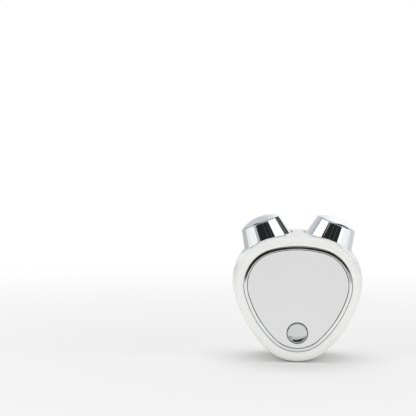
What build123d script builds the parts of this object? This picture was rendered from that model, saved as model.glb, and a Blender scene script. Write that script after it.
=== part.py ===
from build123d import *
import os
from math import atan2, cos, degrees, hypot, radians, sin, sqrt, tan

# A hand-held facial toning device: a rounded-triangle casing of two shells, a bright face
# plate in a trim ring, a dished power button and two rolling electrode heads on top.
# Millimetres. Z is up, the face plate looks towards -Y, and the casing stands on its tip.
# Y = 0 is the plane where the shells part, and the roller axes lie in it.

# Casing outline in the parting plane: four arcs a side, each tangent to the next.
CASE_WIDTH = 52.0
CASE_TOP = 50.9
TIP_BELOW_FOOT = 0.8            # how far the uncut tip would reach under the flat foot
CROWN_RADIUS = 44.0
SHOULDER_RADIUS = 19.4
FLANK_RADIUS = 46.0
TIP_RADIUS = 18.6

# Casing in depth: the rear face lies as far behind the parting plane as the ring's crest before it.
CASE_DEPTH = 32.8
RING_PROUD = 0.4                # the ring's crest above the front shell's face
WALL = 2.0
FRONT_DRAFT = 4.5               # degrees, from the parting plane to the face
REAR_DRAFT = 1.0
FRONT_ROUND = 3.3
REAR_ROUND = 4.7
RIM_LAND = 0.3                  # least flat wall between a socket's rim and a rounding
INNER_EDGE = 1.5
SEAM_DEPTH = 0.15               # of the fine groove round the parting plane
SEAM_HALF_WIDTH = 0.12
LIP_HEIGHT = 1.3
LIP_WALL = 0.9
LIP_CLEARANCE = 0.1

# Face panel: plate, ring and tape, all in one recess of the front shell. Its outline is the
# casing's, a little lower at the crown and higher at the tip.
PANEL_CROWN_DROP = 0.2
PANEL_TIP_RISE = 0.45
RING_INSET = 4.7                # from the panel's outline to the ring
RING_WIDTH = 1.5
RING_FLANGE = 0.6               # the ring's ledge under the face plate
RING_BEVEL = 14.0               # degrees, falling to the outside
RING_ROUND = 0.45               # where the bevel rolls over into the ring's outside
RING_CHAMFER = 0.12             # on the inside
RING_CLEARANCE = 0.05
RECESS_DEPTH = 1.3
FLOOR = 1.6
TAPE = 0.6
PLATE = 0.9
PLATE_CLEARANCE = 0.12
PLATE_HOLE_CLEARANCE = 0.3
TAPE_MARGIN = 0.25

# Power button and the switch behind it.
BUTTON_HEIGHT = 11.8
BUTTON_RADIUS = 3.95
BUTTON_PROUD = 0.3              # above the front shell's face
BUTTON_RIM = 0.5
BUTTON_DISH = 0.4
BUTTON_SIDE_CLEARANCE = 0.2
BUTTON_FLANGE_OVERHANG = 1.1
BUTTON_FLANGE = 0.8
BUTTON_STEM_RADIUS = 1.6
BUTTON_STEM = 1.1
BUTTON_TRAVEL = 0.5
SWITCH_SIZE = 6.0
SWITCH_THICKNESS = 2.0
SWITCH_CHAMFER = 0.6
PLUNGER_RADIUS = 1.5
PLUNGER_PROUD = 0.6
PLUNGER_SUNK = 0.7
PLUNGER_CLEARANCE = 0.15

# Rolling heads: cones with a domed end, on shafts that lean outwards. Two round sockets hold
# them, and fill the crown between the ridge in the middle and the casing's sides.
LEAN = 21.7                     # degrees from upright
RIDGE = 4.93                    # between the sockets' walls, level with the reference points
SOCKET_FROM_SIDE = 3.99         # from a socket's wall out to the casing's side, at that level
HEAD_BELOW_CROWN = 4.1          # from the casing's top down to a head's reference point
HEAD_RISE = 7.83                # from there to the end edge
HEAD_SUNK = 1.0                 # from there down to the open rim
HEAD_CONE = 13.0                # degrees, half angle
HEAD_DOME = 2.3
HEAD_EDGE = 0.5
HEAD_WALL = 1.2
HUB_RADIUS = 4.0
SHAFT_RADIUS = 2.0
SHAFT_TOP = 5.0
SHAFT_PROUD = 1.4               # the shaft's end below the bracket's seat
SHAFT_END_ROUND = 0.5
SHAFT_FIT = 0.03
SOCKET_GAP = 0.4
SOCKET_DROP = 1.5               # from the head's rim to the socket's floor
SOCKET_FLOOR = 1.5
SOCKET_WALL = 1.5
SOCKET_EDGE = 0.8
BUSH_RADIUS = 3.1
BUSH_FLANGE_RADIUS = 4.2
BUSH_FLANGE = 0.55
BUSH_BELOW_FLOOR = 0.3
SEAT_FIT = 0.02
AXIAL_PLAY = 0.05
WASHER = 0.4
WASHER_RADIUS = 3.9
WASHER_FIT = 0.08
CLIP = 0.6
CLIP_RADIUS = 3.5
CLIP_MOUTH = 2.9
CLIP_NOTCH = 0.64
GROOVE_RADIUS = 1.6

# Bracket that carries the shafts' lower ends and the contact springs.
SEAT_TOP = -9.0                 # along the shaft
SEAT_LENGTH = 3.6
SEAT_HALF = 3.8
SEAT_CHAMFER = 0.5
LOWER_BUSH_FLANGE = 0.5
LOWER_BUSH_FLANGE_RADIUS = 3.7
FRAME_FRONT = 1.8
FRAME_THICKNESS = 2.0
FRAME_HEIGHT = 5.6
FRAME_DROP = 1.17               # from the middle of a seat down to the plate's middle
FRAME_SCREW_OUT = 6.75          # from the middle of a seat out to the screw
FRAME_END = 3.0                 # from the screw out to the plate's end
FRAME_CORNER = 2.0
SPRING = 0.25
SPRING_WIDTH = 3.0
SPRING_REACH = 1.6
STAKE_RADIUS = 0.6
STAKE_PROUD = 0.5
STAKE_ABOVE_SEAT_END = 1.2

# Circuit board, which hangs on posts of the front shell.
BOARD = 1.0
BOARD_INSET = 3.0
BOARD_SIDE_CLEARANCE = 0.5      # from the board's edge to the screw bosses beside it
BOARD_BELOW_FRAME = 1.8
BOARD_SCREW_X = 7.5
BOARD_SCREW_DROP = 3.5
BOARD_REST_X = 7.0
BOARD_REST_Z = 8.5
BOARD_REST_RADIUS = 1.2
BOARD_POST_RADIUS = 2.2

# Parts on the board's back. Their rows lie about one line across the board.
ROW_ABOVE_MIDDLE = 1.1
CHIP_X = -3.0
CHIP_WIDTH = 3.9
CHIP_LENGTH = 8.6
CHIP_THICKNESS = 1.5
LEG_PITCH = 1.27
LEG_ROWS = 6
LEG_SPAN = 6.0
LEG_WIDTH = 0.4
LEG_THICKNESS = 0.3
CHARGER_X = 4.8
CHARGER_ABOVE_USB = 5.2
CHARGER_WIDTH = 2.9
CHARGER_LENGTH = 1.6
CHARGER_THICKNESS = 1.1
COIL_X = 5.5
COIL_RADIUS = 2.4
COIL_WAIST_RADIUS = 1.7
COIL_HEIGHT = 2.6
COIL_FLANGE = 0.8
CAPACITOR_WIDTH = 1.0
CAPACITOR_LENGTH = 1.8
CAPACITOR_THICKNESS = 0.8
CAPACITOR_PITCH = 2.0
CAPACITOR_GAP = 1.3             # from the chip's end to the nearest row
CAPACITORS_IN_ROW = 3
CAPACITOR_OFFSET = 4.2          # from the chip's middle to the one between chip and coil

# Micro-USB charging socket in the foot.
USB_WIDTH = 7.5
USB_HEIGHT = 2.6
USB_DEPTH = 5.5
USB_WALL = 0.3
USB_CHAMFER = 0.8
USB_FLUSH = 0.3                 # from the foot up to the socket's mouth
USB_SLOT_CLEARANCE = 0.15
TONGUE_WIDTH = 3.8
TONGUE_THICKNESS = 0.6
TONGUE_LENGTH = 3.6

# Cell, and the tape that holds it to the rear shell between two ribs.
CELL_WIDTH = 20.0
CELL_THICKNESS = 5.5
CELL_BOTTOM = 10.0
CELL_BELOW_FRAME = -0.2
CELL_EDGE = 1.5
CELL_STEP = 3.0
CELL_TAPE = 0.4
CELL_TAPE_MARGIN = 3.0
CELL_RIB_CLEARANCE = 0.4
CELL_RIB = 0.9
CELL_RIB_HEIGHT = 3.0
CELL_RIB_SHORTER = 2.5          # than the cell, at each end

# Leads.
LEAD_RADIUS = 0.5
LEAD_BEND = 0.45                # share of the shorter run that a bend takes up
CELL_LEAD_X = 3.0
CELL_LEAD_DROP = 2.0            # below the cell's top end
CELL_LEAD_STRAIGHT = 4.0
CELL_LEAD_SPREAD = 1.0
CELL_LEAD_FALL = 2.5
ELECTRODE_LEAD_STRAIGHT = 3.0
ELECTRODE_LEAD_BELOW_SEAT = 0.7
ELECTRODE_LEAD_IN_FROM_SCREW = 1.0   # the bracket's screw, to the middle bend
ELECTRODE_LEAD_ABOVE_SCREW = 1.0     # the board's screw, to the middle bend
ELECTRODE_LEAD_BACK = 4.4       # from the board out to the lead's middle bend
ELECTRODE_LEAD_END = 3.5
ELECTRODE_LEAD_IN = 1.3         # from the board's edge in to the joint
ELECTRODE_LEAD_DROP = 6.5

# Screws: all are pan-head, and the holes follow from their sizes.
TOP_SCREW_BELOW_CROWN = 8.9
LOWER_SCREW_HEIGHT = 20.0
LOWER_SCREW_BESIDE_CELL = 1.1   # from the cell's side to the screw's boss
HOUSING_SHANK_RADIUS = 1.0
HOUSING_HEAD_RADIUS = 1.9
HOUSING_HEAD = 1.4
HOUSING_BOSS_RADIUS = 3.1
HOUSING_WEB = 3.5               # the boss end that the head clamps
HOUSING_GRIP = 6.0              # thread in the rear boss
FIN = 1.0                       # fins from the lower bosses to the side walls
FIN_DROP = 5.0                  # from the parting plane down to a fin's edge
SMALL_SHANK_RADIUS = 0.8
SMALL_HEAD_RADIUS = 1.6
SMALL_HEAD = 1.0
FRAME_POST_RADIUS = 2.4
SMALL_GRIP = 4.0
HEAD_HOLE_CLEARANCE = 0.2
SHANK_HOLE_CLEARANCE = 0.2
THREAD_CLEARANCE = 0.05
PILOT_EXTRA = 1.0
PAN_ROUND = 0.4                 # shares of a screw head's height and radius
CROSS_DEPTH = 0.5
CROSS_REACH = 0.5
CROSS_HALF_WIDTH = 0.12

# Places along Y that follow from the sizes above.
HALF_DEPTH = CASE_DEPTH / 2
FACE_DEPTH = HALF_DEPTH - RING_PROUD
RECESS_Y = -(FACE_DEPTH - RECESS_DEPTH)
FLOOR_BACK_Y = RECESS_Y + FLOOR
TAPE_FRONT_Y = RECESS_Y - TAPE
PLATE_FRONT_Y = TAPE_FRONT_Y - PLATE
REAR_INNER_Y = HALF_DEPTH - WALL
FLANGE_BACK_Y = FLOOR_BACK_Y + BUTTON_FLANGE
STEM_END_Y = FLANGE_BACK_Y + BUTTON_STEM
SWITCH_FRONT_Y = STEM_END_Y + PLUNGER_PROUD
BOARD_FRONT_Y = SWITCH_FRONT_Y + SWITCH_THICKNESS
BOARD_BACK_Y = BOARD_FRONT_Y + BOARD
CELL_BACK_Y = REAR_INNER_Y - CELL_TAPE
CELL_FRONT_Y = CELL_BACK_Y - CELL_THICKNESS
FRAME_BACK_Y = FRAME_FRONT + FRAME_THICKNESS

# Radii of the button's and the heads' surroundings.
BUTTON_FLANGE_RADIUS = BUTTON_RADIUS + BUTTON_FLANGE_OVERHANG
PLATE_HOLE_RADIUS = BUTTON_RADIUS + PLATE_HOLE_CLEARANCE
SOCKET_SPAN = CASE_WIDTH / 2 - SOCKET_FROM_SIDE - RIDGE / 2
SOCKET_RADIUS = SOCKET_SPAN / 2 / cos(radians(LEAN))
HEAD_BASE_RADIUS = SOCKET_RADIUS - SOCKET_GAP
HEAD_END_RADIUS = HEAD_BASE_RADIUS - (HEAD_RISE + HEAD_SUNK) * tan(radians(HEAD_CONE))

# Places along a shaft, measured outwards from the head's reference point.
SOCKET_S = -(HEAD_SUNK + SOCKET_DROP)
SOCKET_UNDER_S = SOCKET_S - SOCKET_FLOOR
BUSH_TOP_S = SOCKET_S + BUSH_FLANGE
BUSH_END_S = SOCKET_UNDER_S - BUSH_BELOW_FLOOR
WASHER_TOP_S = BUSH_END_S - AXIAL_PLAY
CLIP_TOP_S = WASHER_TOP_S - WASHER - AXIAL_PLAY
SEAT_BOTTOM_S = SEAT_TOP - SEAT_LENGTH
SEAT_MIDDLE_S = SEAT_TOP - SEAT_LENGTH / 2
SHAFT_BOTTOM_S = SEAT_BOTTOM_S - SHAFT_PROUD

# Places across and up the device.
HEAD_X = RIDGE / 2 + SOCKET_SPAN / 2
HEAD_Z = CASE_TOP - HEAD_BELOW_CROWN
FRAME_SCREW_X = HEAD_X + SEAT_MIDDLE_S * sin(radians(LEAN)) + FRAME_SCREW_OUT
FRAME_SCREW_Z = HEAD_Z + SEAT_MIDDLE_S * cos(radians(LEAN)) - FRAME_DROP
FRAME_HALF_WIDTH = FRAME_SCREW_X + FRAME_END
FRAME_LOW_Z = FRAME_SCREW_Z - FRAME_HEIGHT / 2
CELL_TOP = FRAME_LOW_Z - CELL_BELOW_FRAME
LOWER_SCREW_X = CELL_WIDTH / 2 + LOWER_SCREW_BESIDE_CELL + HOUSING_BOSS_RADIUS
LOWER_SCREWS = [(side * LOWER_SCREW_X, LOWER_SCREW_HEIGHT) for side in (-1, 1)]
HOUSING_SCREWS = [(0.0, CASE_TOP - TOP_SCREW_BELOW_CROWN), *LOWER_SCREWS]
BOARD_HALF_WIDTH = LOWER_SCREW_X - HOUSING_BOSS_RADIUS - BOARD_SIDE_CLEARANCE
BOARD_TOP = FRAME_LOW_Z - BOARD_BELOW_FRAME
BOARD_SCREW_Z = BOARD_TOP - BOARD_SCREW_DROP
USB_TOP = USB_FLUSH + USB_DEPTH
ROW_Z = (BOARD_TOP + USB_TOP) / 2 + ROW_ABOVE_MIDDLE

# Roundings that the walls beside them limit.
RIM_REACH = SOCKET_RADIUS + SOCKET_EDGE + RIM_LAND
FRONT_EDGE = min(FRONT_ROUND, FACE_DEPTH - RIM_REACH)
REAR_EDGE = min(REAR_ROUND, HALF_DEPTH - RIM_REACH)

FAR = 200.0                     # longer than anything in the model


def outline_centres(crown_drop, tip_rise):
    """Centres of the crown, shoulder, flank and tip arcs of the right half."""
    crown = Vector(0, CASE_TOP - crown_drop - CROWN_RADIUS)
    tip = Vector(0, TIP_RADIUS - TIP_BELOW_FOOT + tip_rise)
    shoulder_x = CASE_WIDTH / 2 - SHOULDER_RADIUS
    rise = sqrt((CROWN_RADIUS - SHOULDER_RADIUS) ** 2 - shoulder_x**2)
    shoulder = Vector(shoulder_x, crown.Y + rise)
    to_shoulder = FLANK_RADIUS - SHOULDER_RADIUS
    to_tip = FLANK_RADIUS - TIP_RADIUS
    span = tip - shoulder
    length = hypot(span.X, span.Y)
    along = (to_shoulder**2 - to_tip**2 + length**2) / (2 * length)
    across = sqrt(to_shoulder**2 - along**2)
    foot = shoulder + span * (along / length)
    flank = foot + Vector(span.Y, -span.X) * (across / length)
    return crown, shoulder, flank, tip


def direction(start, end):
    """Angle in degrees of the line from start to end."""
    return degrees(atan2(end.Y - start.Y, end.X - start.X))


def outline(inset, crown_drop=0.0, tip_rise=0.0):
    """Face of the casing outline, moved inwards by inset, in the parting plane."""
    crown, shoulder, flank, tip = outline_centres(crown_drop, tip_rise)
    crown_end = direction(crown, shoulder)
    shoulder_end = direction(flank, shoulder)
    flank_end = direction(flank, tip)
    arcs = [CenterArc(crown, CROWN_RADIUS - inset, crown_end, 180 - 2 * crown_end)]
    arcs.append(CenterArc(tip, TIP_RADIUS - inset, -180 - flank_end, 180 + 2 * flank_end))
    for side in (1, -1):
        pieces = [
            (shoulder, SHOULDER_RADIUS - inset, shoulder_end, crown_end),
            (flank, FLANK_RADIUS - inset, flank_end, shoulder_end),
        ]
        for centre, radius, low, high in pieces:
            if side < 0:
                low, high = 180 - high, 180 - low
            arcs.append(CenterArc((side * centre.X, centre.Y), radius, low, high - low))
    return Plane.XZ * make_face(Wire(arcs))


def slab(inset, near_y, far_y, draft=0.0):
    """The outline, extruded from near_y to far_y and drawn in by draft degrees."""
    towards = 1 if far_y > near_y else -1
    face = Pos(0, near_y, 0) * outline(inset)
    return extrude(face, amount=abs(far_y - near_y), dir=(0, towards, 0), taper=draft)


def panel(inset, near_y, far_y, draft=0.0):
    """The face panel's outline, extruded forwards from near_y to far_y and drawn in."""
    face = Pos(0, near_y, 0) * outline(inset, PANEL_CROWN_DROP, PANEL_TIP_RISE)
    return extrude(face, amount=near_y - far_y, dir=(0, -1, 0), taper=draft)


def edges_at_y(shape, y):
    """Edges of shape that lie in the plane at y."""
    return shape.edges().filter_by_position(Axis.Y, y - 0.01, y + 0.01)


def rod(x, z, radius, near_y, far_y):
    """Round rod along Y between two places."""
    middle = (near_y + far_y) / 2
    return Pos(x, middle, z) * Rot(90, 0, 0) * Cylinder(radius, abs(far_y - near_y))


def block(low_x, high_x, low_y, high_y, low_z, high_z):
    """Box between two corners."""
    size = (high_x - low_x, high_y - low_y, high_z - low_z)
    middle = ((low_x + high_x) / 2, (low_y + high_y) / 2, (low_z + high_z) / 2)
    return Pos(*middle) * Box(*size)


def shaft_plane(side):
    """Plane across a shaft, with its Z along the shaft and its X outwards."""
    lean = radians(LEAN)
    return Plane(
        origin=(side * HEAD_X, 0, HEAD_Z),
        x_dir=(side * cos(lean), 0, -sin(lean)),
        z_dir=(side * sin(lean), 0, cos(lean)),
    )


def barrel(radius, low, high):
    """Round rod along a shaft, in the shaft's own frame."""
    return Pos(0, 0, (low + high) / 2) * Cylinder(radius, high - low)


def casing_half(face_y, draft, edge):
    """Outside of one shell, drawn in towards its face, with the face's edge rounded."""
    half = slab(0, 0, face_y, draft)
    half = fillet(edges_at_y(half, face_y), edge)
    half = half - block(-FAR, FAR, -FAR, FAR, -FAR, 0)
    return sink_sockets(half)


def both_sides(shape):
    """The shape, placed on each shaft."""
    return [shaft_plane(side) * shape for side in (-1, 1)]


def rim_edges(half, side):
    """Edges where a socket's wall meets the outside of a casing half."""
    plane = shaft_plane(side)
    rim = []
    for edge in half.edges():
        places = [plane.to_local_coords(edge.position_at(share)) for share in (0, 0.5, 1)]
        on_wall = all(abs(hypot(place.X, place.Y) - SOCKET_RADIUS) < 0.01 for place in places)
        above_floor = min(place.Z for place in places) > SOCKET_S + 0.01
        if on_wall and above_floor and abs(places[1].Y) > 0.01:
            rim.append(edge)
    return rim


def sink_sockets(half):
    """Sinks the two sockets for the heads into a casing half and rounds their rims."""
    for tool in both_sides(barrel(SOCKET_RADIUS, SOCKET_S, FAR)):
        half = half - tool
    for side in (-1, 1):
        half = fillet(rim_edges(half, side), SOCKET_EDGE)
    return half


def socket_cups(half):
    """Walls and floors of the two sockets in a casing half, with the bush holes."""
    plug = barrel(SOCKET_RADIUS + SOCKET_WALL, SOCKET_UNDER_S, FAR)
    left_plug, right_plug = both_sides(plug)
    cups = half & (left_plug + right_plug)
    for tool in both_sides(barrel(BUSH_RADIUS + SEAT_FIT, SOCKET_UNDER_S, SOCKET_S)):
        cups = cups - tool
    return cups


def seam_groove(far_y):
    """Shallow cut round the outside at the parting plane, on the side of far_y."""
    return slab(-SEAM_DEPTH, 0, far_y) - slab(SEAM_DEPTH, 0, far_y)


def front_shell():
    """Front shell: face recess, sockets, screw wells, board posts and charging slot."""
    half = casing_half(-FACE_DEPTH, FRONT_DRAFT, FRONT_EDGE)
    cavity = slab(WALL, 0, FLOOR_BACK_Y, FRONT_DRAFT)
    cavity = fillet(edges_at_y(cavity, FLOOR_BACK_Y), INNER_EDGE)
    shell = half - cavity
    shell = shell + (socket_cups(half) & block(-FAR, FAR, FLOOR_BACK_Y, 0, -FAR, FAR))
    for x, z in HOUSING_SCREWS:
        shell = shell + rod(x, z, HOUSING_BOSS_RADIUS, FLOOR_BACK_Y, 0)
    for side in (-1, 1):
        post_x = side * BOARD_SCREW_X
        shell = shell + rod(post_x, BOARD_SCREW_Z, BOARD_POST_RADIUS, FLOOR_BACK_Y, BOARD_FRONT_Y)
        rest_x = side * BOARD_REST_X
        shell = shell + rod(rest_x, BOARD_REST_Z, BOARD_REST_RADIUS, FLOOR_BACK_Y, BOARD_FRONT_Y)
    shell = shell - panel(RING_INSET - RING_CLEARANCE, RECESS_Y, -FAR)
    shell = shell - rod(0, BUTTON_HEIGHT, BUTTON_RADIUS + BUTTON_SIDE_CLEARANCE, -FAR, 0)
    for x, z in HOUSING_SCREWS:
        well = HOUSING_HEAD_RADIUS + HEAD_HOLE_CLEARANCE
        shell = shell - rod(x, z, well, -FAR, -HOUSING_WEB)
        shell = shell - rod(x, z, HOUSING_SHANK_RADIUS + SHANK_HOLE_CLEARANCE, -FAR, 1)
    for side in (-1, 1):
        pilot = SMALL_SHANK_RADIUS + THREAD_CLEARANCE
        pilot_end = BOARD_FRONT_Y - SMALL_GRIP
        shell = shell - rod(side * BOARD_SCREW_X, BOARD_SCREW_Z, pilot, pilot_end, 0)
    groove_depth = LIP_HEIGHT + LIP_CLEARANCE
    groove = slab(WALL - LIP_WALL - LIP_CLEARANCE, 0, -groove_depth) - slab(WALL, 0, -groove_depth)
    shell = shell - (groove & lip_space()) - seam_groove(-SEAM_HALF_WIDTH)
    slot = usb_profile(USB_SLOT_CLEARANCE)
    return shell - extrude(Pos(0, 0, -1) * slot, amount=USB_DEPTH)


def lip_space():
    """Space where the lip may run: everywhere except at the sockets."""
    space = block(-FAR, FAR, -LIP_HEIGHT - LIP_CLEARANCE, 0, -FAR, FAR)
    for tool in both_sides(barrel(SOCKET_RADIUS + SOCKET_WALL, SOCKET_UNDER_S, FAR)):
        space = space - tool
    return space - block(-FAR, FAR, -FAR, FAR, HEAD_Z, FAR)


def cell_ribs():
    """Ribs on the rear wall beside and under the cell."""
    near_y = REAR_INNER_Y - CELL_RIB_HEIGHT
    inner = CELL_WIDTH / 2 + CELL_RIB_CLEARANCE
    low_z, high_z = CELL_BOTTOM + CELL_RIB_SHORTER, CELL_TOP - CELL_RIB_SHORTER
    ribs = []
    for side in (-1, 1):
        low_x, high_x = sorted((side * inner, side * (inner + CELL_RIB)))
        ribs.append(block(low_x, high_x, near_y, HALF_DEPTH, low_z, high_z))
    reach = CELL_WIDTH / 2 - CELL_RIB_SHORTER
    top = CELL_BOTTOM - CELL_RIB_CLEARANCE
    return [*ribs, block(-reach, reach, near_y, HALF_DEPTH, top - CELL_RIB, top)]


def boss_fins():
    """Fins that stiffen the rear shell's lower bosses, out to the side walls."""
    fins = []
    for x, z in LOWER_SCREWS:
        low_x, high_x = sorted((x, 2 * x))
        fins.append(block(low_x, high_x, FIN_DROP, HALF_DEPTH, z - FIN / 2, z + FIN / 2))
    return fins


def rear_shell():
    """Rear shell: lip, sockets, bosses, ribs, and the posts under the shaft bracket."""
    half = casing_half(HALF_DEPTH, REAR_DRAFT, REAR_EDGE)
    cavity = slab(WALL, 0, REAR_INNER_Y, REAR_DRAFT)
    cavity = fillet(edges_at_y(cavity, REAR_INNER_Y), REAR_EDGE - WALL)
    shell = half - cavity - seam_groove(SEAM_HALF_WIDTH)
    shell = shell + (socket_cups(half) & block(-FAR, FAR, 0, REAR_INNER_Y, -FAR, FAR))
    for x, z in HOUSING_SCREWS:
        shell = shell + rod(x, z, HOUSING_BOSS_RADIUS, 0, REAR_INNER_Y)
    for side in (-1, 1):
        post_x = side * FRAME_SCREW_X
        shell = shell + rod(post_x, FRAME_SCREW_Z, FRAME_POST_RADIUS, FRAME_BACK_Y, REAR_INNER_Y)
    for rib in cell_ribs() + boss_fins():
        shell = shell + (rib & half)
    lip = slab(WALL - LIP_WALL, 1, -LIP_HEIGHT) - slab(WALL, 1, -LIP_HEIGHT)
    lip = lip & lip_space()
    shell = shell + lip
    for x, z in HOUSING_SCREWS:
        pilot = HOUSING_SHANK_RADIUS + THREAD_CLEARANCE
        shell = shell - rod(x, z, pilot, -1, HOUSING_GRIP + PILOT_EXTRA)
    for side in (-1, 1):
        pilot = SMALL_SHANK_RADIUS + THREAD_CLEARANCE
        pilot_end = FRAME_BACK_Y + SMALL_GRIP + PILOT_EXTRA
        shell = shell - rod(side * FRAME_SCREW_X, FRAME_SCREW_Z, pilot, FRAME_BACK_Y - 1, pilot_end)
    return shell


def trim_ring():
    """Chrome ring: a bevel that falls outwards, a roll-off, and a ledge under the plate."""
    inner = RING_INSET + RING_WIDTH
    crest = -HALF_DEPTH
    bevel_y = crest + (RING_WIDTH - RING_CHAMFER) * tan(radians(RING_BEVEL))
    ring = panel(RING_INSET, RECESS_Y, bevel_y) + panel(RING_INSET, bevel_y, crest, 90 - RING_BEVEL)
    ring = fillet(edges_at_y(ring, bevel_y), RING_ROUND)
    ring = ring - panel(inner, TAPE_FRONT_Y, -FAR)
    ring = ring - panel(inner, crest + RING_CHAMFER, crest, -45)
    return ring - panel(inner + RING_FLANGE, 0, -FAR)


def mirror_plate():
    """Polished face plate with the button's hole."""
    inset = RING_INSET + RING_WIDTH + PLATE_CLEARANCE
    plate = panel(inset, TAPE_FRONT_Y, PLATE_FRONT_Y)
    return plate - rod(0, BUTTON_HEIGHT, PLATE_HOLE_RADIUS, 0, -FAR)


def mirror_tape():
    """Foam tape between the face plate and the floor of its recess."""
    inset = RING_INSET + RING_WIDTH + RING_FLANGE + PLATE_CLEARANCE
    tape = panel(inset, RECESS_Y, TAPE_FRONT_Y)
    return tape - rod(0, BUTTON_HEIGHT, PLATE_HOLE_RADIUS + TAPE_MARGIN, 0, -FAR)


def power_button():
    """Button with a raised rim, a concave face, a flange that stops it, and a stem."""
    front = FACE_DEPTH + BUTTON_PROUD
    back = -STEM_END_Y
    flange_front = -FLOOR_BACK_Y
    flange_back = -FLANGE_BACK_Y
    dish_radius = BUTTON_RADIUS - BUTTON_RIM
    sketch = Polyline(
        (0, front - BUTTON_DISH),
        (0, back),
        (BUTTON_STEM_RADIUS, back),
        (BUTTON_STEM_RADIUS, flange_back),
        (BUTTON_FLANGE_RADIUS, flange_back),
        (BUTTON_FLANGE_RADIUS, flange_front),
        (BUTTON_RADIUS, flange_front),
        (BUTTON_RADIUS, front - BUTTON_RIM / 2),
    )
    rim_round = ThreePointArc(
        (BUTTON_RADIUS, front - BUTTON_RIM / 2),
        (BUTTON_RADIUS - BUTTON_RIM / 2, front),
        (dish_radius, front - BUTTON_RIM / 2),
    )
    sphere = (dish_radius**2 + (BUTTON_DISH - BUTTON_RIM / 2) ** 2) / (2 * (BUTTON_DISH - BUTTON_RIM / 2))
    half_way = dish_radius / 2
    sag = sphere - sqrt(sphere**2 - half_way**2)
    dish = ThreePointArc(
        (dish_radius, front - BUTTON_RIM / 2),
        (half_way, front - BUTTON_DISH + sag),
        (0, front - BUTTON_DISH),
    )
    profile = make_face(Wire([*sketch.edges(), rim_round, dish]))
    turned = revolve(Plane.XZ * profile, Axis.Z)
    return Pos(0, 0, BUTTON_HEIGHT) * Rot(90, 0, 0) * turned


def switch_plunger():
    """Plunger of the tact switch, under the button's stem."""
    return rod(0, BUTTON_HEIGHT, PLUNGER_RADIUS, STEM_END_Y, SWITCH_FRONT_Y + PLUNGER_SUNK)


def switch_body():
    """Tact switch on the board, with the plunger's well."""
    half = SWITCH_SIZE / 2
    low_z = BUTTON_HEIGHT - half
    body = block(-half, half, SWITCH_FRONT_Y, BOARD_FRONT_Y, low_z, low_z + SWITCH_SIZE)
    body = chamfer(body.edges().filter_by(Axis.Y), SWITCH_CHAMFER)
    well_end = SWITCH_FRONT_Y + PLUNGER_SUNK + BUTTON_TRAVEL + PLUNGER_CLEARANCE
    well = rod(0, BUTTON_HEIGHT, PLUNGER_RADIUS + PLUNGER_CLEARANCE, SWITCH_FRONT_Y - 1, well_end)
    return body - well


def main_board():
    """Circuit board with two screw holes."""
    board = slab(BOARD_INSET, BOARD_BACK_Y, BOARD_FRONT_Y)
    board = board & block(-BOARD_HALF_WIDTH, BOARD_HALF_WIDTH, -FAR, FAR, -FAR, BOARD_TOP)
    for side in (-1, 1):
        hole = SMALL_SHANK_RADIUS + SHANK_HOLE_CLEARANCE
        board = board - rod(side * BOARD_SCREW_X, BOARD_SCREW_Z, hole, -FAR, FAR)
    return board


def pan_screw(x, z, seat_y, inwards, shank_radius, head_radius, head_height, length):
    """Pan-head screw along Y, with a cross recess: inwards is the way its shank points."""
    head = rod(x, z, head_radius, seat_y - inwards * head_height, seat_y)
    top_y = seat_y - inwards * head_height
    head = fillet(edges_at_y(head, top_y), head_height * PAN_ROUND)
    shank = rod(x, z, shank_radius, seat_y, seat_y + inwards * length)
    screw = head + shank
    arm = head_radius * CROSS_REACH
    cut_y = sorted((top_y, top_y + inwards * head_height * CROSS_DEPTH))
    slot = head_radius * CROSS_HALF_WIDTH
    screw = screw - block(x - arm, x + arm, *cut_y, z - slot, z + slot)
    return screw - block(x - slot, x + slot, *cut_y, z - arm, z + arm)


def housing_screws():
    """Three screws that hold the shells together, under the face plate."""
    length = HOUSING_WEB + HOUSING_GRIP
    sizes = (HOUSING_SHANK_RADIUS, HOUSING_HEAD_RADIUS, HOUSING_HEAD, length)
    return [pan_screw(x, z, -HOUSING_WEB, 1, *sizes) for x, z in HOUSING_SCREWS]


def board_screws():
    """Two screws that hold the board to its posts, driven from behind."""
    sizes = (SMALL_SHANK_RADIUS, SMALL_HEAD_RADIUS, SMALL_HEAD, BOARD + SMALL_GRIP - PILOT_EXTRA)
    places = [(side * BOARD_SCREW_X, BOARD_SCREW_Z) for side in (-1, 1)]
    return [pan_screw(x, z, BOARD_BACK_Y, -1, *sizes) for x, z in places]


def frame_screws():
    """Two screws that hold the shaft bracket to the rear shell's posts."""
    sizes = (SMALL_SHANK_RADIUS, SMALL_HEAD_RADIUS, SMALL_HEAD, FRAME_THICKNESS + SMALL_GRIP)
    places = [(side * FRAME_SCREW_X, FRAME_SCREW_Z) for side in (-1, 1)]
    return [pan_screw(x, z, FRAME_FRONT, 1, *sizes) for x, z in places]


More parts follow.
